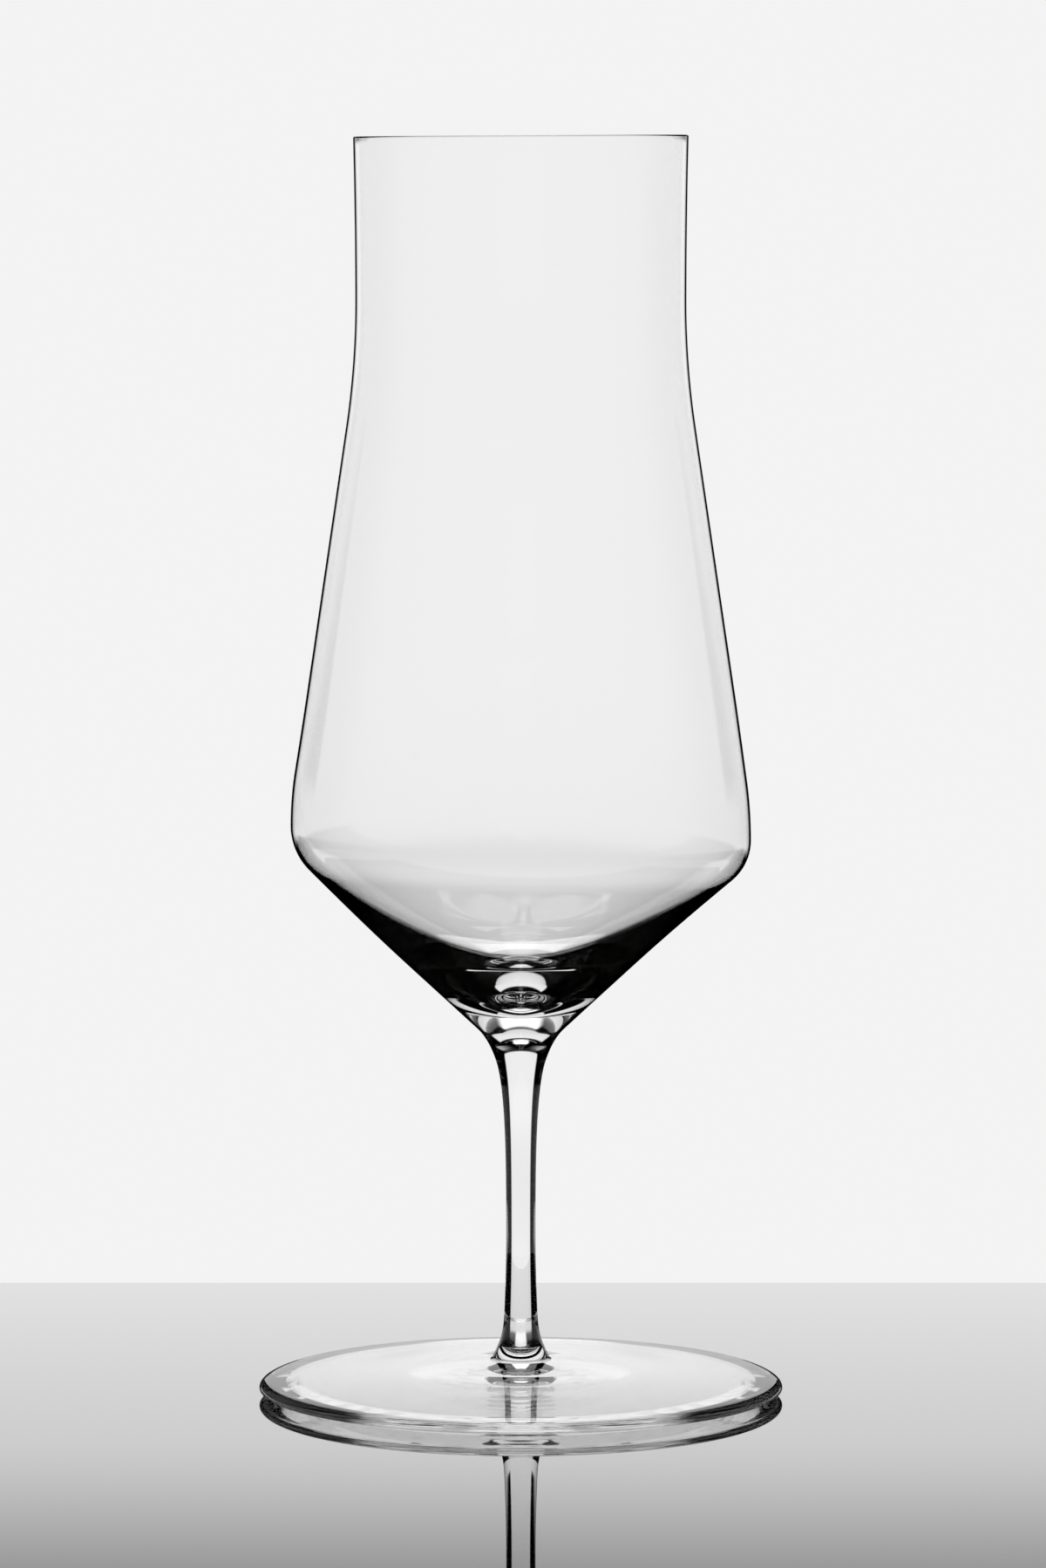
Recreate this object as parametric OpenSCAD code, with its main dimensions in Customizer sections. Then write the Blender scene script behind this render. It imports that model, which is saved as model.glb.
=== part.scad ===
// Stemmed tulip beer glass: a thin blown bowl, a drawn stem and a spun foot, fused hot on one axis.
// Lengths are millimetres and angles degrees. +Z is up, and the origin is on the axis at the table.

/* [Bowl outside] */
// Outer diameter of the rim
rim_d = 54; // [52:0.2:60]
// Outer diameter of the neck, the narrowest place of the chimney
neck_d = 53.4; // [46:0.2:58]
// Outer diameter of the shoulder, the widest place of the bowl
shoulder_d = 74.7; // [66:0.1:86]
// Height of the chimney, from the neck to the rim
chimney_h = 26.2; // [14:0.2:40]
// Height of the taper, from the shoulder to the neck
taper_h = 86.5; // [70:0.5:110]
// Height of the cone, from its small end to the shoulder
cone_h = 32; // [26:0.2:40]
// Outer diameter of the cone at its small end
cone_end_d = 14.2; // [11:0.1:18]
// Height of the solid base, from the seat on the stem to the cone's small end
base_h = 5.3; // [4:0.1:8]
// Radius of the bend between the chimney and the taper
bend_r = 140; // [80:1:180]
// Radius of the swelling just above the shoulder
crown_r = 63; // [30:1:90]
// Radius of the turn from the shoulder into the cone
turn_r = 9; // [6:0.1:14]

/* [Bowl wall] */
// Wall thickness in the chimney, and width of the fire-polished rim
rim_wall = 0.6; // [0.5:0.05:1.2]
// Wall thickness at the shoulder, and through its turn into the cone
shoulder_wall = 0.55; // [0.5:0.05:1.2]
// Lean of the well's side from the cone outside it, so that the wall grows thicker towards the base
well_lean = 1.8; // [0.6:0.1:6]
// Thickness of solid glass between the seat on the stem and the bottom of the well
well_floor = 11; // [9:0.1:14]

/* [Stem] */
// Height of the stem between its two seats
stem_h = 41.4; // [30:0.2:70]
// Diameter of the stem where it takes the bowl
stem_top_d = 8.1; // [6.6:0.1:10]
// Flare of the stem there, measured from the axis
stem_top_flare = 18.5; // [8:0.5:30]
// Diameter of the stem at its waist
stem_waist_d = 4.8; // [3.6:0.1:6.4]
// Height of the waist above the foot's seat
stem_waist_h = 13.2; // [6:0.2:22]
// Diameter of the stem where it stands on the foot
stem_foot_d = 5.4; // [4.4:0.1:7]
// Flare of the stem there, measured from the axis
stem_foot_flare = 2.4; // [0:0.2:8]

/* [Foot] */
// Diameter of the foot
foot_d = 85.4; // [70:0.2:100]
// Height of the plate's top above the table where the rounded edge begins
edge_t = 2.7; // [2.2:0.1:4]
// Width of the rounding of the edge
edge_w = 2.2; // [1.2:0.1:3.5]
// Height of the widest place of the edge, from which it draws in under the foot
edge_h = 1.45; // [0.8:0.05:1.8]
// Radius of the lower corner of the edge
edge_low_r = 0.35; // [0.2:0.05:0.6]
// Width of the underside that rises to the edge, from the widest place in to the rest ring
edge_run = 4.5; // [2.5:0.5:8]
// Height of the top of the foot's post above the table
post_h = 13.6; // [10:0.1:20]
// Height of the root of the post above the table
post_root_h = 6.4; // [5:0.1:8]
// Diameter of the post at its root
post_root_d = 9.1; // [7.4:0.1:12]
// Flare of the post at its root, measured from the axis
post_flare = 25.5; // [16:0.5:40]
// Radius of the fillet between the post and the plate
post_fillet_r = 0.9; // [0.4:0.1:1.6]
// Fall of the plate beside the post
plate_inner_fall = 8; // [5:0.5:10]
// Fall of the plate beside its edge
plate_outer_fall = 3.5; // [1:0.5:5]
// Width of the flat ring that the glass stands on
rest_w = 3; // [2:0.5:8]
// Rise of the hollow underside at its middle
kick_h = 2.2; // [1:0.1:3]
// Slope of the hollow underside beside the rest ring
kick_rise = 3.5; // [1:0.5:6]

/* [Seats] */
// Depth of the domed seat of the bowl in the stem
bowl_seat_sag = 1.2; // [0.6:0.1:2]
// Depth of the domed seat of the stem in the foot's post
foot_seat_sag = 0.5; // [0.2:0.1:0.9]

/* [Hidden] */
$fn = 120;
clear_glass = [0.88, 0.91, 0.92, 0.4];

// Straight stretches that stand for each arc or curve
curve_steps = 12;
// Points nearer than this are one point
point_gap = 0.0005;

// Reach of each curve's two handles, as shares of the distance between its ends
base_fillet_shares = [0.33, 0.32];
well_shares = [0.63, 0.09];
stem_upper_shares = [0.17, 0.44];
stem_lower_shares = [0.33, 0.33];
post_shares = [0.48, 0.37];
plate_shares = [0.33, 0.33];
edge_shares = [0.48, 0.27];
kick_shares = [0.33, 0.33];

// Directions in the outline, which holds [radius, height] points
DOWN = -90;
OUTWARD = 0;
INWARD = 180;

// Heights above the table, from the foot up to the rim
stem_foot_z = post_h;
waist_z = stem_foot_z + stem_waist_h;
seat_z = stem_foot_z + stem_h;
cone_end_z = seat_z + base_h;
well_z = seat_z + well_floor;
shoulder_z = cone_end_z + cone_h;
neck_z = shoulder_z + taper_h;
rim_z = neck_z + chimney_h;

// Radii that more than one piece or wall uses
rim_r = rim_d / 2;
neck_r = neck_d / 2;
shoulder_r = shoulder_d / 2;
foot_r = foot_d / 2;
lip_r = rim_wall / 2;

// Places on the outline where pieces or curves meet
cone_end = [cone_end_d / 2, cone_end_z];
turn_center = [shoulder_r - turn_r, shoulder_z];
bowl_joint = [stem_top_d / 2, seat_z];
waist = [stem_waist_d / 2, waist_z];
foot_joint = [stem_foot_d / 2, stem_foot_z];
post_root = [post_root_d / 2, post_root_h];

// Unit vector in a direction
function toward(angle) = [cos(angle), sin(angle)];

// A path backwards
function reversed(path) = [for (i = [len(path) - 1:-1:0]) path[i]];

// Paths end to end, with the points that they share kept once
function joined(paths) =
    let (points = [for (path = paths) each path])
    [for (i = [0:len(points) - 1])
        if (i == 0 || norm(points[i] - points[i - 1]) > point_gap) points[i]];

// Arc about a center, from one direction to another
function arc(center, radius, from, to) =
    [for (i = [0:curve_steps]) center + radius * toward(from + (to - from) * i / curve_steps)];

// Cubic curve that leaves point a and reaches point b in the given directions
function curve(a, leaving, b, reaching, shares) =
    let (
        reach = norm(b - a),
        a_handle = a + reach * shares[0] * toward(leaving),
        b_handle = b - reach * shares[1] * toward(reaching)
    )
    [for (i = [0:curve_steps])
        let (t = i / curve_steps, s = 1 - t)
        s * s * s * a + 3 * s * s * t * a_handle + 3 * s * t * t * b_handle + t * t * t * b];

// Round dome over a circle: from its edge at [radius, z] to the axis, sag above it, or below if negative
function dome(edge, sag) =
    let (
        radius = (edge.x * edge.x + sag * sag) / (2 * sag),
        half = asin(edge.x / radius)
    )
    arc([0, edge.y + sag - radius], radius, 90 - half, 90);

// Lean of a taper that joins two vertical tangents by two arcs, whose radii add up to radii
function taper_lean(spread, height, radii) =
    asin(radii / norm([height, radii - spread])) - atan2(radii - spread, height);

// Direction of the outer normal of a line from a point up to the underside of a circle
function tangent_normal(point, center, radius) =
    let (v = center - point)
    atan2(v.y, v.x) - acos(-radius / norm(v));

// Parabola of the chimney from the rim's height down to the neck
function chimney_path(top_r, bottom_r) =
    [for (i = [0:curve_steps])
        let (u = 1 - i / curve_steps)
        [bottom_r + (top_r - bottom_r) * u * u, neck_z + (chimney_h - lip_r) * u]];

// One side of the bowl's upper wall, from the rim to the shoulder
function upper_path(top_r, bottom_r, wide_r, outer_bend_r, inner_bend_r) =
    let (lean = taper_lean(wide_r - bottom_r, taper_h, outer_bend_r + inner_bend_r))
    joined([
        chimney_path(top_r, bottom_r),
        arc([bottom_r + outer_bend_r, neck_z], outer_bend_r, INWARD, INWARD + lean),
        arc([wide_r - inner_bend_r, shoulder_z], inner_bend_r, lean, OUTWARD)
    ]);

// Directions of the outer normals of the cone and of the well's side
cone_normal = tangent_normal(cone_end, turn_center, turn_r);
well_normal = cone_normal - well_lean;

// Turn of the shoulder inside, and the place where the well's side leaves it
inner_turn_r = turn_r - shoulder_wall;
well_top = turn_center + inner_turn_r * toward(well_normal);

// Bowl from the rim down the outside to the seat, and up the inside to the rounded rim
module bowl() {
    outside = joined([
        upper_path(rim_r, neck_r, shoulder_r, bend_r, crown_r),
        arc(turn_center, turn_r, OUTWARD, cone_normal),
        curve(cone_end, cone_normal + DOWN, bowl_joint, DOWN - stem_top_flare, base_fillet_shares),
        dome(bowl_joint, -bowl_seat_sag)
    ]);
    inside = joined([
        upper_path(rim_r - rim_wall, neck_r - rim_wall, shoulder_r - shoulder_wall,
            bend_r + rim_wall, crown_r - shoulder_wall),
        arc(turn_center, inner_turn_r, OUTWARD, well_normal),
        curve(well_top, well_normal + DOWN, [0, well_z], INWARD, well_shares)
    ]);
    lip = arc([rim_r - lip_r, rim_z - lip_r], lip_r, INWARD, OUTWARD);
    color(clear_glass)
        rotate_extrude()
            polygon(joined([outside, reversed(inside), lip]));
}

// Stem from the dished seat under the bowl, through its waist, to the round end in the foot's post
module stem() {
    outside = joined([
        curve(bowl_joint, DOWN - stem_top_flare, waist, DOWN, stem_upper_shares),
        curve(waist, DOWN, foot_joint, DOWN + stem_foot_flare, stem_lower_shares),
        dome(foot_joint, -foot_seat_sag)
    ]);
    color(clear_glass)
        rotate_extrude()
            polygon(joined([reversed(dome(bowl_joint, -bowl_seat_sag)), outside]));
}

// Foot from the dished top of its post, over the plate and its raised edge, to the hollow underside
module foot() {
    fillet_center = post_root + post_fillet_r * toward(post_flare);
    fillet = arc(fillet_center, post_fillet_r, post_flare - INWARD, DOWN - plate_inner_fall);
    plate_start = fillet[curve_steps];
    edge_top = [foot_r - edge_w, edge_t];
    low_center = [foot_r - edge_low_r, edge_h];
    rest_edge = [foot_r - edge_run, 0];
    outside = joined([
        curve(foot_joint, DOWN + stem_foot_flare, post_root, DOWN + post_flare, post_shares),
        fillet,
        curve(plate_start, -plate_inner_fall, edge_top, -plate_outer_fall, plate_shares),
        curve(edge_top, -plate_outer_fall, [foot_r, edge_h], DOWN, edge_shares),
        arc(low_center, edge_low_r, OUTWARD, tangent_normal(rest_edge, low_center, edge_low_r)),
        [rest_edge],
        curve(rest_edge - [rest_w, 0], INWARD - kick_rise, [0, kick_h], INWARD, kick_shares)
    ]);
    color(clear_glass)
        rotate_extrude()
            polygon(joined([reversed(dome(foot_joint, -foot_seat_sag)), outside]));
}

bowl();
stem();
foot();
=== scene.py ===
"""Looks of a stemmed tulip beer glass: a bowl, a stem and a foot of clear glass, in a light tent.

Lengths are metres in the frame of the CAD model: +Z up the glass's axis, the table at zero, the viewer on -Y.
"""
import logging
import math
from collections.abc import Iterable, Sequence
from dataclasses import dataclass, field
from enum import Enum
from typing import Any

import bpy
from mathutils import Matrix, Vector


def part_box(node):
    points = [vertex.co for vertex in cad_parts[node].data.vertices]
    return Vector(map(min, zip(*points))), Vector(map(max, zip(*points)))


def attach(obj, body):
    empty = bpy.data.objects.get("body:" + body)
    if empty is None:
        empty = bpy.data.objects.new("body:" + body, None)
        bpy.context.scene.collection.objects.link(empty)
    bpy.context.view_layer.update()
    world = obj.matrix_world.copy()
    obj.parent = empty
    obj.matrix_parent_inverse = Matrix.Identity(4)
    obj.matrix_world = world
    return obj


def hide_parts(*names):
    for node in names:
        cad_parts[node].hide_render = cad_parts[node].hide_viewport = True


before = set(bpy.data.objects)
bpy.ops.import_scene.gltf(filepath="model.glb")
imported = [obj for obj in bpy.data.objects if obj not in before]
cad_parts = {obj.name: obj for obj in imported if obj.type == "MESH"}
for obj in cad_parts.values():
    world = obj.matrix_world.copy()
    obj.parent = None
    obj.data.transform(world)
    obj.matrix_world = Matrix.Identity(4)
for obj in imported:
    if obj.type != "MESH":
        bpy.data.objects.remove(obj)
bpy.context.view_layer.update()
SLOT = "clear_glass"
BODY = "root"
WHITE = (1.0, 1.0, 1.0, 1.0)

log = logging.getLogger("tulip_glass")


class Marks(Enum):
    """Faint marks that the making of each piece leaves in its surface."""

    BLOWN = "bands round the bowl from turning it in its mould"
    DRAWN = "lines along the stem from drawing it out"
    SPUN = "rings on the foot from spinning it flat"


class Skin(Enum):
    """Kinds of surface on a piece, by the place of each one's finish."""

    OUTSIDE = 0
    SEAT = 1
    INSIDE = 2


class Turn(Enum):
    """Directions in an outline, in degrees."""

    OUTWARD = 0.0
    UP = 90.0
    INWARD = 180.0
    DOWN = -90.0


class Value:
    """A shader socket that takes part in Python sums and adds a Math node for each."""

    def __init__(self, sheet: "Sheet", socket: bpy.types.NodeSocket) -> None:
        """Wraps a socket of the sheet."""
        self.sheet = sheet
        self.socket = socket

    def __add__(self, other: "Number") -> "Value":
        """Sum."""
        return self.sheet.math("ADD", self, other)

    def __sub__(self, other: "Number") -> "Value":
        """Difference."""
        return self.sheet.math("SUBTRACT", self, other)

    def __rsub__(self, other: "Number") -> "Value":
        """Difference from a number."""
        return self.sheet.math("SUBTRACT", other, self)

    def __mul__(self, other: "Number") -> "Value":
        """Product."""
        return self.sheet.math("MULTIPLY", self, other)

    def __truediv__(self, other: "Number") -> "Value":
        """Quotient."""
        return self.sheet.math("DIVIDE", self, other)

    def above(self, limit: float) -> "Value":
        """One where the value is over the limit, else zero."""
        return self.sheet.math("GREATER_THAN", self, limit)

    def rise(self, low: float, high: float) -> "Value":
        """Soft step from zero at low to one at high."""
        settings = {"interpolation_type": "SMOOTHSTEP"}
        ends = {"Value": self, "From Min": low, "From Max": high}
        return self.sheet.out(self.sheet.node("ShaderNodeMapRange", settings, ends), "Result")

    def under(self, limit: float, soft: float) -> "Value":
        """One below the limit and zero above it, with a border that is soft over twice the given width."""
        return 1 - self.rise(limit - soft, limit + soft)

    def between(self, low: float, high: float, soft: float) -> "Value":
        """One between low and high, with the same soft borders."""
        return self.rise(low - soft, low + soft) * self.under(high, soft)


Number = Value | float


class Sheet:
    """The node tree of one material, cleared for building."""

    def __init__(self, name: str) -> None:
        """Makes a material of that name with an empty tree."""
        self.material = bpy.data.materials.new(name)
        self.material.use_nodes = True
        self.tree = self.material.node_tree
        self.tree.nodes.clear()

    def node(self, kind: str, settings: dict[str, Any] | None = None,
             inputs: dict[str | int, Any] | None = None) -> bpy.types.Node:
        """Adds any node.

        Args:
            kind: The node's type.
            settings: Values of the node itself, which are set first.
            inputs: Values, sockets or Values for its input sockets, by name or number.

        Returns:
            The new node.
        """
        made = self.tree.nodes.new(kind)
        for key, value in (settings or {}).items():
            setattr(made, key, value)
        for key, value in (inputs or {}).items():
            if isinstance(value, Value):
                value = value.socket
            if isinstance(value, bpy.types.NodeSocket):
                self.tree.links.new(value, made.inputs[key])
            else:
                made.inputs[key].default_value = value
        return made

    def out(self, node: bpy.types.Node, name: str | int = 0) -> Value:
        """Wraps an output socket of a node."""
        return Value(self, node.outputs[name])

    def math(self, operation: str, *terms: Number) -> Value:
        """Adds a Math node on the terms."""
        return self.out(self.node("ShaderNodeMath", {"operation": operation}, dict(enumerate(terms))))

    def place(self) -> tuple[Value, Value, Value]:
        """Object coordinates of the shaded point, as x, y and z."""
        coordinates = self.node("ShaderNodeTexCoord").outputs["Object"]
        split = self.node("ShaderNodeSeparateXYZ", None, {"Vector": coordinates})
        return self.out(split, "X"), self.out(split, "Y"), self.out(split, "Z")

    def vector(self, x: Number, y: Number, z: Number) -> bpy.types.NodeSocket:
        """A vector from three values."""
        return self.node("ShaderNodeCombineXYZ", None, {"X": x, "Y": y, "Z": z}).outputs["Vector"]

    def noise(self, at: bpy.types.NodeSocket, scale: float, detail: float) -> Value:
        """Noise texture, from zero to one."""
        made = self.node("ShaderNodeTexNoise", None, {"Vector": at, "Scale": scale, "Detail": detail})
        return self.out(made, 0)

    def finish(self, shader: bpy.types.Node) -> bpy.types.Material:
        """Links a shader node to the output and returns the material."""
        self.node("ShaderNodeOutputMaterial", None, {"Surface": shader.outputs[0]})
        return self.material


@dataclass(frozen=True)
class ClearGlass:
    """Fire-polished clear glass with the faint marks of its making.

    Attributes:
        marks: The kind of marks.
        ior: Refractive index of crystal glass.
        mark_pitch: Usual distance from one mark to the next.
        mark_depth: Depth of the marks.
        mark_detail: Number of finer layers in the marks.
        round_pitch: Distance round the piece over which a mark changes.
        worn_top: Height below which the foot is scuffed from standing on tables.
        worn_roughness: Roughness of the scuffed ring.
        grit_scale: Fineness of the scuffs.
        grit_detail: Number of finer layers in the scuffs.
        grit_from: Level of their noise where a scuff begins.
        grit_to: Level where it is full.
        painted_outline: Whether the surface has a painted dark outline: painted shade in its Base Color where
            it turns from the viewer, for the dark surroundings that a thin wall refracts at its edge.
        outline_shade_blend: Even blend of the Layer Weight that the painted outline follows.
        outline_shade_from: How far a surface is turned from the viewer where that painted shade begins.
        outline_shade_to: How far it is turned where the painted shade is full.
    """

    marks: Marks
    ior: float = 1.52
    mark_pitch: float = 0.004
    mark_depth: float = 1.2e-6
    mark_detail: float = 2.0
    round_pitch: float = 0.5
    worn_top: float = 0.00025
    worn_roughness: float = 0.03
    grit_scale: float = 900.0
    grit_detail: float = 3.0
    grit_from: float = 0.42
    grit_to: float = 0.62
    painted_outline: bool = False
    outline_shade_blend: float = 0.5
    outline_shade_from: float = 0.78
    outline_shade_to: float = 0.855

    def material(self) -> bpy.types.Material:
        """Builds the material.

        Returns:
            Glass whose bump follows the marks, whose roughness is zero but for the foot's scuffed ring, and,
            on a surface with the painted outline, whose Base Color holds painted shade where it turns from
            the viewer.
        """
        sheet = Sheet(f"{SLOT}_{self.marks.name.lower()}")
        x, y, z = sheet.place()
        radius = sheet.math("SQRT", x * x + y * y)
        across, along = x / (radius + self.mark_depth), y / (radius + self.mark_depth)
        match self.marks:
            case Marks.BLOWN:
                at = sheet.vector(across * self.round_pitch, along * self.round_pitch, z / self.mark_pitch)
            case Marks.DRAWN:
                at = sheet.vector(across / self.round_pitch, along / self.round_pitch, z / self.mark_pitch)
            case Marks.SPUN:
                at = sheet.vector(across * self.round_pitch, along * self.round_pitch,
                                  radius / self.mark_pitch)
        height = sheet.noise(at, 1.0, self.mark_detail)
        bump = sheet.node("ShaderNodeBump", None, {"Distance": self.mark_depth, "Height": height})
        shader = sheet.node("ShaderNodeBsdfPrincipled", None, {
            "Base Color": WHITE, "Roughness": 0.0, "IOR": self.ior,
            "Transmission Weight": 1.0, "Normal": bump.outputs["Normal"]})
        if self.marks is Marks.SPUN:
            grit = sheet.noise(sheet.vector(x, y, z), self.grit_scale, self.grit_detail)
            worn = (1 - z.above(self.worn_top)) * grit.rise(self.grit_from, self.grit_to)
            sheet.tree.links.new((worn * self.worn_roughness).socket, shader.inputs["Roughness"])
        # Painted shade: the Base Color darkens where the surface turns from the viewer, drawing a dark
        # outline for the dark surroundings that the thin wall refracts.
        if self.painted_outline:
            weight = sheet.node("ShaderNodeLayerWeight", None, {"Blend": self.outline_shade_blend})
            clear = 1 - sheet.out(weight, "Facing").rise(self.outline_shade_from, self.outline_shade_to)
            sheet.tree.links.new(sheet.vector(clear, clear, clear), shader.inputs["Base Color"])
        return sheet.finish(shader)


@dataclass(frozen=True)
class FusedSeat:
    """Seat where two pieces are fused: no surface is left there, so light runs straight on."""

    name: str = "fused_seat"

    def material(self) -> bpy.types.Material:
        """Builds a surface with no opacity."""
        sheet = Sheet(self.name)
        return sheet.finish(sheet.node("ShaderNodeBsdfPrincipled", None, {"Alpha": 0.0}))


def toward(angle: float) -> Vector:
    """Unit vector in a direction of the outline, given in degrees."""
    return Vector((math.cos(math.radians(angle)), math.sin(math.radians(angle))))


def tangent_normal(point: Vector, center: Vector, radius: float) -> float:
    """Direction of the outer normal of a line from a point up to the underside of a circle, in degrees."""
    way = center - point
    return math.degrees(math.atan2(way.y, way.x) - math.acos(-radius / way.length))


class Outline:
    """Outline of a turned piece, as [radius, height] points from one path to the next."""

    JOIN = 2e-7

    def __init__(self, steps: int) -> None:
        """Starts an empty outline whose arcs and curves have that many steps."""
        self.steps = steps
        self.points: list[Vector] = []

    def add(self, points: Iterable[Vector]) -> "Outline":
        """Adds points, but for one that falls on the last."""
        for point in points:
            if not self.points or (point - self.points[-1]).length > self.JOIN:
                self.points.append(point)
        return self

    def line(self, end: Vector, steps: int | None = None) -> "Outline":
        """Adds a straight stretch to the end point."""
        start, count = self.points[-1], steps or self.steps
        return self.add(start.lerp(end, i / count) for i in range(1, count + 1))

    def arc(self, center: Vector, radius: float, start: float, end: float,
            steps: int | None = None) -> "Outline":
        """Adds an arc about a center, between two directions."""
        count = steps or self.steps
        return self.add(center + radius * toward(start + (end - start) * i / count) for i in range(count + 1))

    def curve(self, start: Vector, leaving: float, end: Vector, reaching: float, shares: Sequence[float],
              steps: int | None = None) -> "Outline":
        """Adds a cubic curve.

        Args:
            start: First point.
            leaving: Direction there.
            end: Last point.
            reaching: Direction there.
            shares: Reach of the two handles, as shares of the distance between the ends.
            steps: Number of steps, where it isn't the outline's own.

        Returns:
            The outline.
        """
        count, reach = steps or self.steps, (end - start).length
        first = start + reach * shares[0] * toward(leaving)
        last = end - reach * shares[1] * toward(reaching)

        def at(t: float) -> Vector:
            """Point at a share t of the curve."""
            s = 1 - t
            return s ** 3 * start + 3 * s * s * t * first + 3 * s * t * t * last + t ** 3 * end

        return self.add(at(i / count) for i in range(count + 1))

    def dome(self, edge: Vector, sag: float, steps: int) -> "Outline":
        """Adds a round dome from its edge to the axis, sag above the edge, or below it if negative."""
        radius = (edge.x ** 2 + sag ** 2) / (2 * sag)
        half = math.degrees(math.asin(edge.x / radius))
        center = Vector((0.0, edge.y + sag - radius))
        return self.arc(center, radius, Turn.UP.value - half, Turn.UP.value, steps)

    def then(self, other: "Outline", backwards: bool = False) -> "Outline":
        """Adds another outline, if need be backwards."""
        return self.add(reversed(other.points) if backwards else other.points)


def smoothstep(value: float) -> float:
    """Soft step from zero to one as the value goes from zero to one."""
    t = min(max(value, 0.0), 1.0)
    return t * t * (3 - 2 * t)


def hump(value: float) -> float:
    """Soft hump: one at zero, and nothing from one on, to either side."""
    return 1 - smoothstep(abs(value))


@dataclass
class GlassPiece:
    """One turned piece of the glass.

    Attributes:
        node: The CAD node that the piece stands for, which also names it.
        marks: The marks of its making.
        around: Stretches round the piece.
        steps: Steps of an arc or a curve of the outline.
        seat_steps: Steps of a seat's dome, which doesn't show.
        sharp: Angle between faces, in degrees, over which an edge isn't smoothed.
    """

    node: str
    marks: Marks
    around: int = 256
    steps: int = 24
    seat_steps: int = 8
    sharp: float = 30.0

    def outline(self) -> Outline:
        """Outline of the piece, from the axis to the axis."""
        raise NotImplementedError

    def skin(self, center: Vector, normal: Vector) -> Skin:
        """Tells which kind of surface a face of the piece belongs to."""
        raise NotImplementedError

    def shape(self, place: Vector) -> Vector:
        """Moves a point of the turned piece as the maker's hand did."""
        return place

    def turned(self) -> bpy.types.Object:
        """Draws the outline in edit mode and spins it round the axis.

        Returns:
            The closed mesh object at the origin.
        """
        points = [Vector((p.x, 0.0, p.y)) for p in self.outline().points]
        bpy.ops.object.select_all(action="DESELECT")
        bpy.ops.mesh.primitive_plane_add(size=points[0].length, location=(0, 0, 0))
        piece = bpy.context.object
        piece.name = piece.data.name = f"{self.node}_glass"
        bpy.ops.object.mode_set(mode="EDIT")
        bpy.ops.mesh.select_mode(type="VERT")
        bpy.ops.mesh.select_all(action="SELECT")
        bpy.ops.mesh.merge(type="CENTER")
        bpy.ops.transform.translate(value=points[0])
        for last, point in zip(points, points[1:]):
            bpy.ops.mesh.extrude_region_move(TRANSFORM_OT_translate={"value": point - last})
        bpy.ops.mesh.select_all(action="SELECT")
        bpy.ops.mesh.spin(steps=self.around, angle=math.tau, center=(0, 0, 0), axis=(0, 0, 1))
        bpy.ops.mesh.select_all(action="SELECT")
        bpy.ops.mesh.remove_doubles(threshold=Outline.JOIN)
        bpy.ops.mesh.normals_make_consistent(inside=False)
        bpy.ops.object.mode_set(mode="OBJECT")
        for vertex in piece.data.vertices:
            vertex.co = self.shape(vertex.co)
        bpy.ops.object.shade_smooth_by_angle(angle=math.radians(self.sharp))
        return piece

    def finishes(self) -> list[bpy.types.Material]:
        """Materials of the piece, in the order of its kinds of surface."""
        seat = bpy.data.materials.get(FusedSeat.name) or FusedSeat().material()
        return [ClearGlass(self.marks).material(), seat]

    def build(self) -> bpy.types.Object:
        """Models the piece, gives it its finishes and puts it in the frame.

        Returns:
            The finished object.
        """
        piece = self.turned()
        piece.data.materials.clear()
        for finish in self.finishes():
            piece.data.materials.append(finish)
        for face in piece.data.polygons:
            face.material_index = self.skin(face.center, face.normal).value
        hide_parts(self.node)
        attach(piece, BODY)
        log.info("%s: %d faces, %s", piece.name, len(piece.data.polygons), self.marks.value)
        return piece


@dataclass(frozen=True)
class Joints:
    """Fused joints of the glass, read from the frame.

    Attributes:
        bowl: Edge of the bowl's seat on the stem, as radius and height.
        bowl_sag: Depth of that seat.
        foot: Edge of the stem's seat on the foot's post.
        foot_sag: Depth of that seat.
        stem_top_flare: Flare of the stem under the bowl, from the axis, in degrees.
        stem_foot_flare: Flare of the stem over the post.
        level: Least upright share of a face's normal on a seat.
    """

    bowl: Vector
    bowl_sag: float
    foot: Vector
    foot_sag: float
    stem_top_flare: float = 18.5
    stem_foot_flare: float = 2.4
    level: float = 0.6

    @classmethod
    def from_frame(cls, stem_foot_r: float = 0.0027) -> "Joints":
        """Reads the joints' heights and the stem's top from the CAD nodes' boxes."""
        stem_low, stem_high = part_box("stem")
        bowl_low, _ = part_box("bowl")
        _, foot_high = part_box("foot")
        return cls(bowl=Vector((stem_high.x, stem_high.z)), bowl_sag=stem_high.z - bowl_low.z,
                   foot=Vector((stem_foot_r, foot_high.z)), foot_sag=foot_high.z - stem_low.z)


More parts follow.
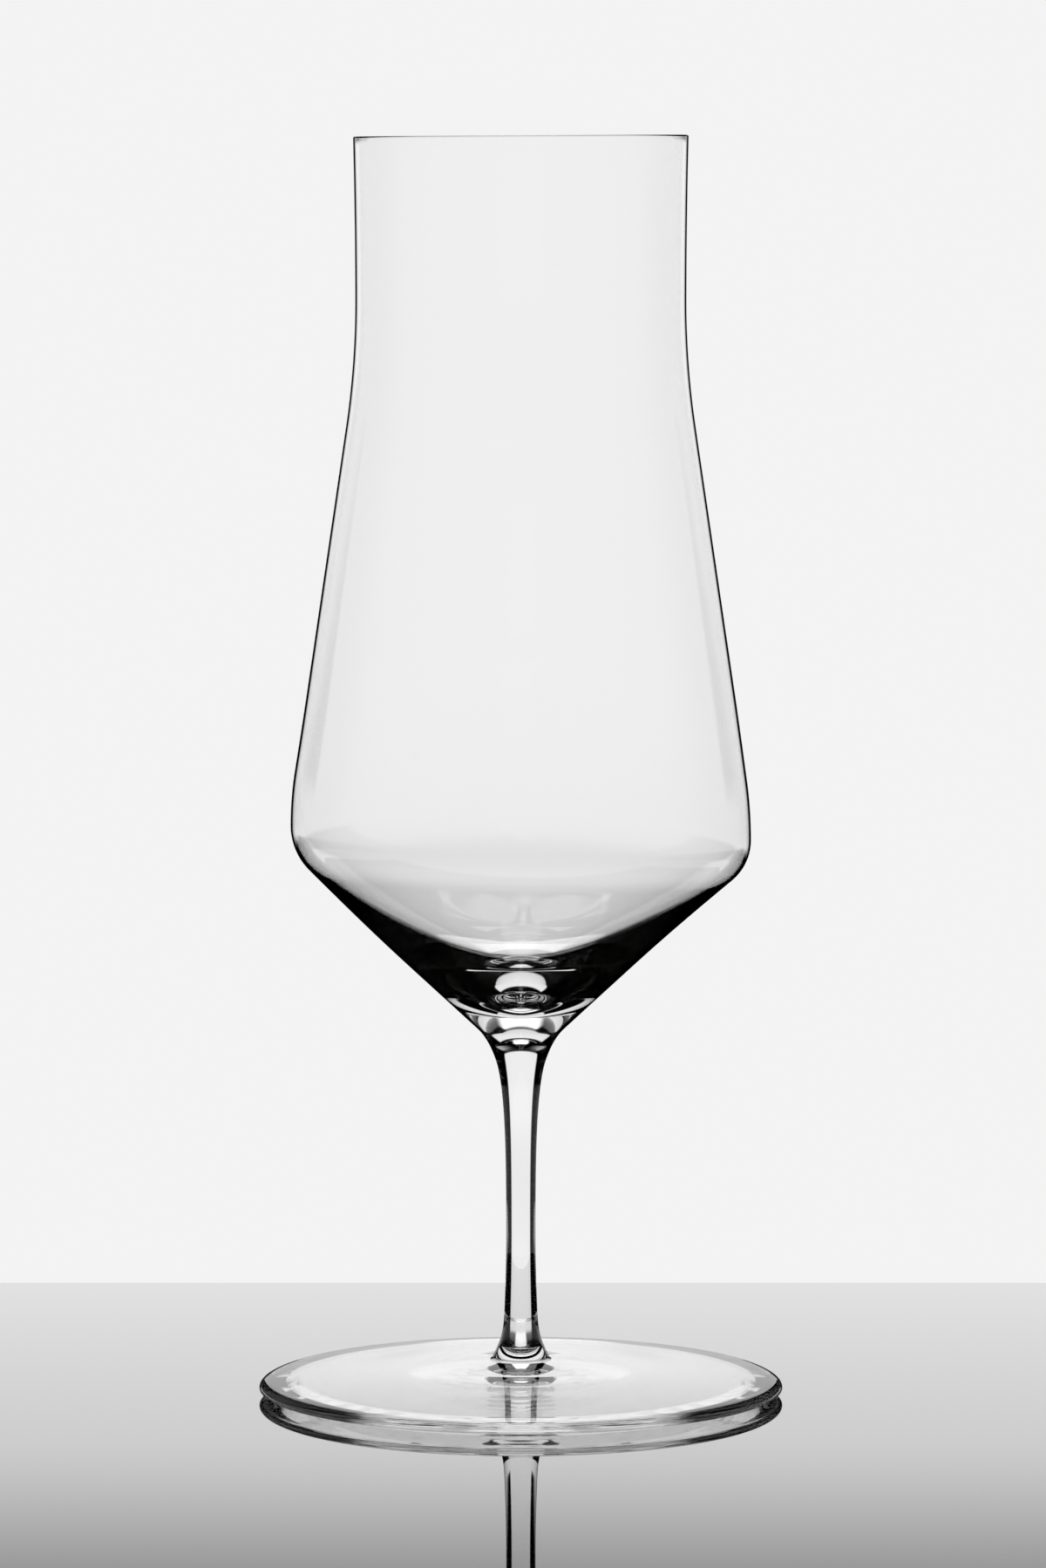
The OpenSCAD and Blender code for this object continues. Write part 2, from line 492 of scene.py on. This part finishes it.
@dataclass
class Bowl(GlassPiece):
    """Blown bowl: chimney, taper, shoulder, cone and solid base, with a wall that thickens towards the base.

    The fields are the diameters, heights, radii and wall thicknesses of the CAD model. Lean and flare are
    degrees, and shares are the reach of a curve's handles. The shoulder's slant and the rim's slant are
    how far each leans sideways, from hand work: rise for each length across.
    """

    node: str = "bowl"
    marks: Marks = Marks.BLOWN
    joints: Joints = field(default_factory=Joints.from_frame)
    rim_d: float = 0.054
    neck_d: float = 0.0534
    shoulder_d: float = 0.0747
    chimney_h: float = 0.0262
    cone_h: float = 0.032
    cone_end_d: float = 0.0142
    base_h: float = 0.0053
    bend_r: float = 0.140
    crown_r: float = 0.063
    turn_r: float = 0.009
    rim_wall: float = 0.0006
    shoulder_wall: float = 0.00055
    well_lean: float = 1.8
    well_floor: float = 0.011
    base_fillet_shares: tuple[float, float] = (0.33, 0.32)
    well_shares: tuple[float, float] = (0.63, 0.09)
    well_steps: int = 72
    lip_steps: int = 10
    shoulder_slant: float = -0.03
    shoulder_reach: float = 0.022
    rim_slant: float = 0.0056
    rim_reach: float = 0.03

    def __post_init__(self) -> None:
        """Works out the heights from the joints and the frame."""
        self.rim_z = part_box("bowl")[1].z
        self.cone_end_z = self.joints.bowl.y + self.base_h
        self.shoulder_z = self.cone_end_z + self.cone_h
        self.neck_z = self.rim_z - self.chimney_h
        self.lip_r = self.rim_wall / 2

    def upper(self, wall_top: float, wall_low: float) -> Outline:
        """One side of the upper wall, from the rim to the shoulder.

        Args:
            wall_top: Depth of this side under the outside in the chimney.
            wall_low: Depth of this side at the shoulder.

        Returns:
            The outline of that side.
        """
        side = Outline(self.steps)
        top_r, neck_r = self.rim_d / 2 - wall_top, self.neck_d / 2 - wall_top
        wide_r = self.shoulder_d / 2 - wall_low
        bend_r, crown_r = self.bend_r + wall_top, self.crown_r - wall_low
        height, spread, radii = self.neck_z - self.shoulder_z, wide_r - neck_r, bend_r + crown_r
        lean = math.degrees(math.asin(radii / math.hypot(height, radii - spread))
                            - math.atan2(radii - spread, height))
        for i in range(self.steps + 1):
            u = 1 - i / self.steps
            flare = (top_r - neck_r) * u * u
            side.add([Vector((neck_r + flare, self.neck_z + (self.chimney_h - self.lip_r) * u))])
        side.arc(Vector((neck_r + bend_r, self.neck_z)), bend_r, Turn.INWARD.value, Turn.INWARD.value + lean)
        crown = Vector((wide_r - crown_r, self.shoulder_z))
        side.line(crown + crown_r * toward(lean))
        return side.arc(crown, crown_r, lean, Turn.OUTWARD.value)

    def outline(self) -> Outline:
        """Outline from the seat up the outside, over the lip and down the inside into the well."""
        down = Turn.DOWN.value
        turn = Vector((self.shoulder_d / 2 - self.turn_r, self.shoulder_z))
        cone_end = Vector((self.cone_end_d / 2, self.cone_end_z))
        normal = tangent_normal(cone_end, turn, self.turn_r)
        outside = self.upper(0.0, 0.0)
        outside.arc(turn, self.turn_r, Turn.OUTWARD.value, normal).line(cone_end)
        outside.curve(cone_end, normal + down, self.joints.bowl, down - self.joints.stem_top_flare,
                      self.base_fillet_shares)
        outside.dome(self.joints.bowl, -self.joints.bowl_sag, self.seat_steps)
        inner_turn_r, well_normal = self.turn_r - self.shoulder_wall, normal - self.well_lean
        inside = self.upper(self.rim_wall, self.shoulder_wall)
        inside.arc(turn, inner_turn_r, Turn.OUTWARD.value, well_normal)
        well = Vector((0.0, self.joints.bowl.y + self.well_floor))
        inside.curve(inside.points[-1], well_normal + down, well, Turn.INWARD.value, self.well_shares,
                     self.well_steps)
        lip = Outline(self.lip_steps)
        lip.arc(Vector((self.rim_d / 2 - self.lip_r, self.rim_z - self.lip_r)), self.lip_r,
                Turn.OUTWARD.value, Turn.INWARD.value)
        return Outline(self.steps).then(outside, backwards=True).then(lip).then(inside)

    def skin(self, center: Vector, normal: Vector) -> Skin:
        """Tells the domed seat under the bowl and the inside of the wall from its outside."""
        if center.z < self.joints.bowl.y:
            return Skin.SEAT
        lip = center.z > self.rim_z - self.lip_r * 2
        return Skin.INSIDE if lip or center.xy.dot(normal.xy) < 0 else Skin.OUTSIDE

    def finishes(self) -> list[bpy.types.Material]:
        """Materials of the bowl: its outside has a painted dark outline, painted shade in the Base Color
        where the wall turns from the viewer.
        """
        inside, seat = super().finishes()
        return [ClearGlass(self.marks, painted_outline=True).material(), seat, inside]

    def shape(self, place: Vector) -> Vector:
        """Leans the shoulder and the rim a little, as on a glass that was turned by hand."""
        low = self.shoulder_slant * hump((place.z - self.shoulder_z) / self.shoulder_reach)
        high = self.rim_slant * smoothstep(1 - (self.rim_z - place.z) / self.rim_reach)
        return place + Vector((0.0, 0.0, place.x * (low + high)))


@dataclass
class Stem(GlassPiece):
    """Drawn stem with a waist, between its two seats."""

    node: str = "stem"
    marks: Marks = Marks.DRAWN
    joints: Joints = field(default_factory=Joints.from_frame)
    around: int = 160
    steps: int = 64
    waist_d: float = 0.0048
    waist_h: float = 0.0132
    upper_shares: tuple[float, float] = (0.17, 0.44)
    lower_shares: tuple[float, float] = (0.33, 0.33)

    def outline(self) -> Outline:
        """Outline from the dished seat under the bowl, by the waist, to the round end in the foot's post."""
        down, joints = Turn.DOWN.value, self.joints
        waist = Vector((self.waist_d / 2, joints.foot.y + self.waist_h))
        dish = Outline(self.steps).dome(joints.bowl, -joints.bowl_sag, self.seat_steps)
        side = Outline(self.steps).then(dish, backwards=True)
        side.curve(joints.bowl, down - joints.stem_top_flare, waist, down, self.upper_shares)
        side.curve(waist, down, joints.foot, down + joints.stem_foot_flare, self.lower_shares)
        return side.dome(joints.foot, -joints.foot_sag, self.seat_steps)

    def skin(self, center: Vector, normal: Vector) -> Skin:
        """Tells the two seats from the outside."""
        return Skin.SEAT if abs(normal.z) > self.joints.level else Skin.OUTSIDE


@dataclass
class Foot(GlassPiece):
    """Spun foot: a post with a flared root on a shallow plate, which stands on a flat ring round a hollow.

    The fields are the sizes of the CAD model. The ripples are low rings on the plate round the post, which
    spinning left.
    """

    node: str = "foot"
    marks: Marks = Marks.SPUN
    joints: Joints = field(default_factory=Joints.from_frame)
    around: int = 320
    steps: int = 32
    sharp: float = 10.0
    foot_d: float = 0.0854
    edge_t: float = 0.0027
    edge_h: float = 0.00145
    edge_w: float = 0.0022
    edge_shares: tuple[float, float] = (0.48, 0.27)
    edge_low_r: float = 0.00035
    edge_run: float = 0.0045
    post_root_h: float = 0.0064
    post_root_d: float = 0.0091
    post_flare: float = 25.5
    post_fillet_r: float = 0.0009
    plate_inner_fall: float = 8.0
    plate_outer_fall: float = 3.5
    rest_w: float = 0.003
    rest_steps: int = 4
    kick_h: float = 0.0022
    kick_rise: float = 3.5
    kick_shares: tuple[float, float] = (0.33, 0.33)
    post_shares: tuple[float, float] = (0.48, 0.37)
    plate_shares: tuple[float, float] = (0.33, 0.33)
    plate_steps: int = 100
    ripple: float = 0.000012
    ripple_pitch: float = 0.0034
    ripple_from: float = 0.0058
    ripple_reach: float = 0.017

    def outline(self) -> Outline:
        """Outline from the dished top of the post, over the plate and its edge, to the hollow underside."""
        down, joints = Turn.DOWN.value, self.joints
        inward, foot_r = Turn.INWARD.value, self.foot_d / 2
        root = Vector((self.post_root_d / 2, self.post_root_h))
        dish = Outline(self.steps).dome(joints.foot, -joints.foot_sag, self.seat_steps)
        side = Outline(self.steps).then(dish, backwards=True)
        side.curve(joints.foot, down + joints.stem_foot_flare, root, down + self.post_flare, self.post_shares)
        side.arc(root + self.post_fillet_r * toward(self.post_flare), self.post_fillet_r,
                 self.post_flare - Turn.INWARD.value, down - self.plate_inner_fall)
        edge, fall = Vector((foot_r - self.edge_w, self.edge_t)), -self.plate_outer_fall
        side.curve(side.points[-1], -self.plate_inner_fall, edge, fall, self.plate_shares, self.plate_steps)
        side.curve(edge, fall, Vector((foot_r, self.edge_h)), down, self.edge_shares)
        rest = Vector((foot_r - self.edge_run, 0.0))
        low_center = Vector((foot_r - self.edge_low_r, self.edge_h))
        side.arc(low_center, self.edge_low_r, Turn.OUTWARD.value,
                 tangent_normal(rest, low_center, self.edge_low_r))
        side.line(rest).line(rest - Vector((self.rest_w, 0.0)), self.rest_steps)
        return side.curve(side.points[-1], inward - self.kick_rise, Vector((0.0, self.kick_h)), inward,
                          self.kick_shares)

    def shape(self, place: Vector) -> Vector:
        """Adds the low ripples that spinning left on the plate round the post."""
        out = place.xy.length - self.ripple_from
        if place.z < self.edge_t or out < 0:
            return place
        fade = smoothstep(out / self.ripple_pitch) * hump(out / self.ripple_reach)
        sunk = self.ripple * fade * math.cos(math.tau * out / self.ripple_pitch)
        return place - Vector((0.0, 0.0, sunk))

    def skin(self, center: Vector, normal: Vector) -> Skin:
        """Tells the dished seat at the top of the post from the outside."""
        in_post = center.xy.length < self.joints.foot.x and center.z > self.post_root_h
        return Skin.SEAT if in_post and normal.z > self.joints.level else Skin.OUTSIDE


class Rays:
    """Where a ray meets the tent, in degrees, and how it came there.

    Attributes:
        azimuth: Angle from straight behind the glass, to either side.
        elevation: Angle above the horizon.
        swing: Angle to either side of the upright plane through the camera.
        behind: One on the far side of the glass.
        over: One above the horizon.
        camera: One for rays straight from the camera.
        mirrors: How often the ray was mirrored.
        many: One for rays that were mirrored more than once.
        once: One for rays that were mirrored once.
        inner: One for rays that went through glass.
        across: One for rays that went through more than one wall.
        outer: One for rays that an outside or the table mirrored, and nothing else.
    """

    WALL_SURFACES = 2

    def __init__(self, sheet: Sheet) -> None:
        """Reads the place on the tent and the light path in a sheet."""
        x, y, z = sheet.place()
        degrees = math.degrees(1.0)
        path = sheet.node("ShaderNodeLightPath")
        surfaces = sheet.out(path, "Transmission Depth")
        self.sheet = sheet
        self.azimuth = sheet.math("ABSOLUTE", sheet.math("ARCTAN2", x, y)) * degrees
        self.elevation = sheet.math("ARCTAN2", z, sheet.math("SQRT", x * x + y * y)) * degrees
        upright = sheet.math("SQRT", y * y + z * z)
        self.swing = sheet.math("ARCTAN2", sheet.math("ABSOLUTE", x), upright) * degrees
        self.behind, self.over = y.above(0.0), z.above(0.0)
        self.camera = sheet.out(path, "Is Camera Ray")
        self.mirrors = sheet.out(path, "Glossy Depth")
        self.many = self.mirrors.above(1)
        self.once = self.mirrors.above(0) - self.many
        self.inner, self.across = surfaces.above(0), surfaces.above(self.WALL_SURFACES)
        self.outer = self.once * (1 - self.inner)


@dataclass(frozen=True)
class TentCloth:
    """Cloth of the light tent, by the direction in which a ray leaves the glass, in degrees.

    Rays that pass through glass see a bright window in a dark tent, with a brighter strip above it. Rays
    that were mirrored once also see pale cloth all round, and a dark card low behind the glass, which draws
    the dark lines at the edges of the bowl and the stem. The levels are those of a grey.

    Attributes:
        backdrop: Level that the camera sees.
        window: Level of the bright window.
        window_low: Level of the window far below the horizon.
        window_half: Half its width.
        bottom: Lower end of the window and of the pale cloth.
        many_bottom: Lower end of the window for rays that were mirrored more than once.
        dim_below: Elevation where the window is half way to its low level.
        band: Loss of level in a shaded band across the window, which mirrored rays don't see.
        band_low: Lower end of that band.
        band_top: Upper end of that band.
        window_top: Upper end of the window.
        table_rise: How much further up it reaches for rays that the table or the glass's outside mirrored.
        guided: Level for rays that ran along inside the foot and left it at the back or to the sides.
        guided_after: Number of mirrorings after which a ray counts as one of those.
        guided_half: Half the width over which they are lit.
        strip: Level of the strip.
        strip_half: Half the width of the strip.
        strip_low: Lower end of the strip, which for rays that crossed the bowl is the window's upper end.
        strip_top: Upper end of the strip.
        strip_side: Azimuth up to which the strip is lit.
        pale: Level of the pale cloth on the viewer's side, which rises to the window's level at its sides.
        pale_from: Azimuth where that rise ends.
        pale_to: Azimuth where that rise begins.
        pale_foot: Elevation at which the pale cloth's upper border starts behind the glass.
        pale_lean: Rise of that border for each degree of azimuth.
        pale_soft: Softness of that border for each degree of azimuth.
        pale_low: Azimuth up to which the pale cloth ends at the deep card's upper end.
        pale_low_fade: Width over which that changes.
        pale_high: Azimuth up to which it ends near the horizon for rays that were mirrored inside one wall.
        pale_high_soft: Softness of that change.
        pale_high_from: Elevation where it begins to end there.
        pale_high_to: Elevation where it has ended.
        roof_from: Azimuth from which the pale cloth reaches overhead for rays that crossed the bowl.
        roof_fade: Width over which it rises there.
        roof_top: Upper end of the pale cloth there.
        roof_soft: Softness of that end.
        side_low: Lower end of a dark band to the sides, which only rays that the outside mirrored see.
        side_top: Upper end of that band.
        side_soft: Softness of those ends.
        side_half: Azimuth where that band ends.
        side_fade: Softness of that end.
        card_slit: Half the width of a slit in the middle of the dark card.
        card_half: Half the width of the dark card.
        card_low: Lower end of the dark card.
        card_top: Upper end of the dark card.
        card_deep: Upper end of its deep part, which is as wide as the window.
        slot_half: Half the window's width above the pale cloth's border for rays that the outside mirrored.
        soft: Half the width of every other soft border.
    """

    backdrop: float = 0.896
    window: float = 0.93
    window_low: float = 0.78
    window_half: float = 29.0
    bottom: float = -60.0
    many_bottom: float = -3.0
    dim_below: float = -11.0
    band: float = 0.08
    band_low: float = -9.0
    band_top: float = -5.2
    window_top: float = 29.0
    table_rise: float = 56.0
    guided: float = 0.95
    guided_after: int = 11
    guided_half: float = 66.0
    strip: float = 1.5
    strip_half: float = 10.0
    strip_low: float = 48.0
    strip_top: float = 71.0
    strip_side: float = 24.0
    pale: float = 0.53
    pale_from: float = 20.0
    pale_to: float = 75.0
    pale_foot: float = 1.0
    pale_lean: float = 0.14
    pale_soft: float = 0.04
    pale_low: float = 42.0
    pale_low_fade: float = 4.0
    pale_high: float = 60.0
    pale_high_soft: float = 6.0
    pale_high_from: float = 6.0
    pale_high_to: float = 14.0
    roof_from: float = 72.0
    roof_fade: float = 12.0
    roof_top: float = 55.0
    roof_soft: float = 20.0
    side_low: float = -15.0
    side_top: float = -6.8
    side_soft: float = 1.0
    side_half: float = 105.0
    side_fade: float = 6.0
    card_slit: float = 3.5
    card_half: float = 18.0
    card_low: float = -30.0
    card_top: float = 4.0
    card_deep: float = -8.0
    slot_half: float = 9.0
    soft: float = 2.0

    def starts(self, angle: Value, at: float) -> Value:
        """Soft step from zero to one where an angle passes the given one."""
        return angle.rise(at - self.soft, at + self.soft)

    def below_border(self, rays: Rays) -> Value:
        """One below the pale cloth's upper border, which rises from behind the glass to the viewer's side."""
        slope = (rays.elevation - self.pale_foot) / (rays.azimuth + self.pale_soft)
        return slope.under(self.pale_lean, self.pale_soft)

    def deep(self, rays: Rays) -> Value:
        """One below the deep card's upper end."""
        return rays.elevation.under(self.card_deep, self.soft)

    def card(self, rays: Rays) -> Value:
        """Dark card, one where mirrored rays see it."""
        behind = rays.outer * rays.elevation.between(self.card_low, self.card_top, self.soft)
        behind = behind * (1 - self.starts(rays.azimuth, self.card_half))
        whole = rays.sheet.math("MAXIMUM", behind, rays.once * self.deep(rays))
        return whole * rays.azimuth.above(self.card_slit)

    def window_light(self, rays: Rays) -> Value:
        """Light of the bright window, less what the card hides."""
        azimuth, elevation, soft = rays.azimuth, rays.elevation, self.soft
        band = elevation.between(self.band_low, self.band_top, soft) * (1 - rays.mirrors.above(0))
        dim = elevation.under(self.dim_below, soft) * (self.window - self.window_low) + band * self.band
        to_top = elevation - rays.outer * self.table_rise
        to_bottom = elevation - rays.many * (self.many_bottom - self.bottom)
        window = azimuth.under(self.window_half, soft) * to_top.under(self.window_top, soft)
        window = window * self.starts(to_bottom, self.bottom)
        window = window * (1 - rays.outer * (1 - self.below_border(rays)) * azimuth.above(self.slot_half))
        window = window * (1 - rays.many * (1 - rays.inner))
        return window * (self.window - dim) * (1 - self.card(rays))

    def strip_light(self, rays: Rays) -> Value:
        """Light of the strip above the window, which only rays through glass see."""
        from_low = rays.elevation + rays.across * (self.strip_low - self.window_top)
        strip = rays.swing.under(self.strip_half, self.soft) * rays.azimuth.under(self.strip_side, self.soft)
        strip = strip * rays.inner * rays.behind * self.starts(from_low, self.strip_low)
        return strip * rays.elevation.under(self.strip_top, self.soft) * self.strip

    def pale_light(self, rays: Rays) -> Value:
        """Light of the pale cloth all round, which only rays that were mirrored once see."""
        azimuth, elevation = rays.azimuth, rays.elevation
        level = azimuth.rise(self.pale_from, self.pale_to) * (self.pale - self.window) + self.window
        aside = azimuth.rise(self.pale_low, self.pale_low + self.pale_low_fade)
        high = rays.inner * (1 - rays.across) * azimuth.under(self.pale_high, self.pale_high_soft)
        high = high * elevation.rise(self.pale_high_from, self.pale_high_to)
        roof = rays.across * azimuth.rise(self.roof_from, self.roof_from + self.roof_fade)
        roof = roof * elevation.under(self.roof_top, self.roof_soft)
        side = rays.outer * elevation.between(self.side_low, self.side_top, self.side_soft)
        side = side * azimuth.under(self.side_half, self.side_fade)
        cloth = rays.sheet.math("MAXIMUM", self.below_border(rays), roof)
        cloth = cloth * rays.once * self.starts(azimuth, self.card_half)
        cloth = cloth * (1 - self.deep(rays) * (1 - aside)) * (1 - high) * (1 - side)
        return level * cloth * self.starts(elevation, self.bottom)

    def guided_light(self, rays: Rays) -> Value:
        """Light for rays that ran along inside the foot."""
        guided = rays.mirrors.above(self.guided_after) * rays.azimuth.under(self.guided_half, self.soft)
        return guided * rays.over * self.guided

    def material(self) -> bpy.types.Material:
        """Builds the glowing cloth.

        Returns:
            An emission that differs for the camera, for rays through glass and for mirrored rays.
        """
        sheet = Sheet("tent_cloth")
        rays = Rays(sheet)
        seen = sheet.math("MAXIMUM", self.window_light(rays) + self.strip_light(rays), self.pale_light(rays))
        seen = sheet.math("MAXIMUM", seen, self.guided_light(rays))
        level = rays.camera * self.backdrop + (1 - rays.camera) * seen
        grey = sheet.vector(level, level, level)
        glow = sheet.node("ShaderNodeEmission", None, {"Color": grey, "Strength": 1.0})
        made = sheet.finish(glow)
        made.cycles.emission_sampling = "NONE"
        return made


@dataclass(frozen=True)
class TableTop:
    """Polished pale table top with painted shade: its mirror's colour is lighter at its far edge than near
    the viewer, for the light from behind that falls off towards the front.

    Attributes:
        far: Distance of the far edge behind the glass's axis.
        far_share: Share of light that it mirrors at its far edge.
        fall: Painted shade: loss of that share for each metre towards the viewer.
        near: Distance from the far edge where the share stays the same.
        shade: Further painted shade: loss of the share near the viewer.
        shade_from: Distance from the far edge where that loss begins.
        shade_to: Distance where it ends.
        sheen: Share of light that the top scatters.
    """

    far: float
    far_share: float = 0.84
    fall: float = 1.05
    near: float = 0.27
    shade: float = 0.26
    shade_from: float = 0.15
    shade_to: float = 0.3
    sheen: float = 0.03

    def material(self) -> bpy.types.Material:
        """Builds the polished top.

        Returns:
            A mirror with a soft fall of brightness towards the viewer, and a little scatter.
        """
        sheet = Sheet("table_top")
        _, y, _ = sheet.place()
        # Painted shade: the mirror's colour falls from the far edge towards the viewer, for the light from
        # behind that falls off towards the front.
        nearer = sheet.math("MINIMUM", self.far - y, self.near)
        share = self.far_share - nearer * self.fall - nearer.rise(self.shade_from, self.shade_to) * self.shade
        mirror = sheet.node("ShaderNodeBsdfGlossy", None,
                            {"Color": sheet.vector(share, share, share), "Roughness": 0.0})
        scatter = sheet.node("ShaderNodeBsdfDiffuse", None, {"Color": WHITE})
        return sheet.finish(sheet.node("ShaderNodeMixShader", None, {
            0: self.sheen, 1: mirror.outputs[0], 2: scatter.outputs[0]}))


@dataclass
class Studio:
    """Camera, light tent and table. The tent and the table turn with the viewer, as on a turntable.

    Attributes:
        view_distance: Distance of the camera before the axis.
        view_height: Height of the camera.
        view_aside: Place of the camera to the right of the axis.
        pitch: Tilt of the camera below the horizon, in degrees.
        focal_px: Focal length in pixels of the photograph.
        photo_px: Long side of the photograph, in pixels.
        sensor: Long side of the camera's sensor, in millimetres.
        tent_r: Radius of the tent.
        tent_segments: Stretches round the tent.
        tent_rings: Stretches from its lowest to its highest point.
        top_half: Half the width of the table.
        top_far: Far edge of the table.
        top_near: Near edge of the table.
        patch_half: Half the width of the patch round the foot that the glass mirrors too.
        patch_near: Near edge of that patch.
        gap: Room under the foot.
        bounces: Most bounces of a light path.
    """

    TOP_COLUMNS, TOP_ROWS, TOP_START, TOP_MIDDLE = 3, 2, 2.0, 0.5

    view_distance: float = 1.1675
    view_height: float = 0.205
    view_aside: float = 0.00035
    pitch: float = 5.13
    focal_px: float = 8290.0
    photo_px: float = 1799.0
    sensor: float = 36.0
    tent_r: float = 8.0
    tent_segments: int = 64
    tent_rings: int = 32
    top_half: float = 1.5
    top_far: float = 0.1155
    top_near: float = -1.4
    patch_half: float = 0.2
    patch_near: float = -0.1
    gap: float = 0.00002
    bounces: int = 32

    def camera(self) -> bpy.types.Object:
        """Makes the camera at the photograph's place."""
        bpy.ops.object.camera_add(location=(self.view_aside, -self.view_distance, self.view_height),
                                  rotation=(math.radians(90.0 - self.pitch), 0.0, 0.0))
        camera = bpy.context.object
        camera.name = "photo_camera"
        camera.data.sensor_width = self.sensor
        camera.data.lens = self.focal_px / self.photo_px * self.sensor
        bpy.context.scene.camera = camera
        return camera

    def turntable(self, camera: bpy.types.Object) -> bpy.types.Object:
        """Makes an empty on the axis whose -Y side faces the camera."""
        bpy.ops.object.empty_add(location=(0, 0, 0))
        table = bpy.context.object
        table.name = "turntable"
        track = table.constraints.new("LOCKED_TRACK")
        track.target, track.track_axis, track.lock_axis = camera, "TRACK_NEGATIVE_Y", "LOCK_Z"
        return table

    def top(self, name: str, patch: bool) -> bpy.types.Object:
        """Makes the patch of table top round the foot, or the rest of the top round that patch.

        Args:
            name: Name of the object.
            patch: Whether it is the patch.

        Returns:
            The flat object just under the foot.
        """
        bpy.ops.object.select_all(action="DESELECT")
        bpy.ops.mesh.primitive_grid_add(x_subdivisions=self.TOP_COLUMNS, y_subdivisions=self.TOP_ROWS,
                                        size=self.TOP_START, location=(0, 0, 0))
        top = bpy.context.object
        top.name = name
        for vertex in top.data.vertices:
            side = self.top_half if abs(vertex.co.x) > self.TOP_MIDDLE else self.patch_half
            along = {-1: self.top_near, 0: self.patch_near, 1: self.top_far}[round(vertex.co.y)]
            vertex.co = (math.copysign(side, vertex.co.x), along, -self.gap)
        bpy.ops.object.mode_set(mode="EDIT")
        bpy.ops.mesh.select_mode(type="FACE")
        bpy.ops.mesh.select_all(action="DESELECT")
        bpy.ops.object.mode_set(mode="OBJECT")
        for face in top.data.polygons:
            in_patch = abs(face.center.x) < self.patch_half and face.center.y > self.patch_near
            face.select = in_patch != patch
        bpy.ops.object.mode_set(mode="EDIT")
        bpy.ops.mesh.delete(type="FACE")
        bpy.ops.object.mode_set(mode="OBJECT")
        return top

    def build(self) -> None:
        """Sets up the camera, the tent, the table and the way that light is traced."""
        turntable = self.turntable(self.camera())
        bpy.ops.object.select_all(action="DESELECT")
        bpy.ops.mesh.primitive_uv_sphere_add(segments=self.tent_segments, ring_count=self.tent_rings,
                                             radius=self.tent_r, location=(0, 0, 0))
        tent = bpy.context.object
        tent.name = "tent"
        tent.data.materials.append(TentCloth().material())
        patch, table = self.top("table_patch", True), self.top("table", False)
        table.visible_glossy = table.visible_transmission = table.visible_diffuse = False
        finish = TableTop(self.top_far).material()
        for piece in (patch, table):
            piece.data.materials.append(finish)
        for piece in (tent, patch, table):
            piece.parent = turntable
        scene = bpy.context.scene
        scene.world = bpy.data.worlds.new("studio")
        scene.view_settings.view_transform = "Standard"
        cycles = scene.cycles
        cycles.max_bounces = cycles.transmission_bounces = cycles.glossy_bounces = self.bounces
        cycles.transparent_max_bounces = self.bounces
        cycles.blur_glossy = 0.0
        cycles.use_denoising = True
        log.info("studio: camera, tent and table")


def main() -> None:
    """Builds the glass and its studio."""
    logging.basicConfig(level=logging.INFO, format="%(message)s")
    Studio().build()
    joints = Joints.from_frame()
    for piece in (Bowl(joints=joints), Stem(joints=joints), Foot(joints=joints)):
        piece.build()


if __name__ == "__main__":
    main()
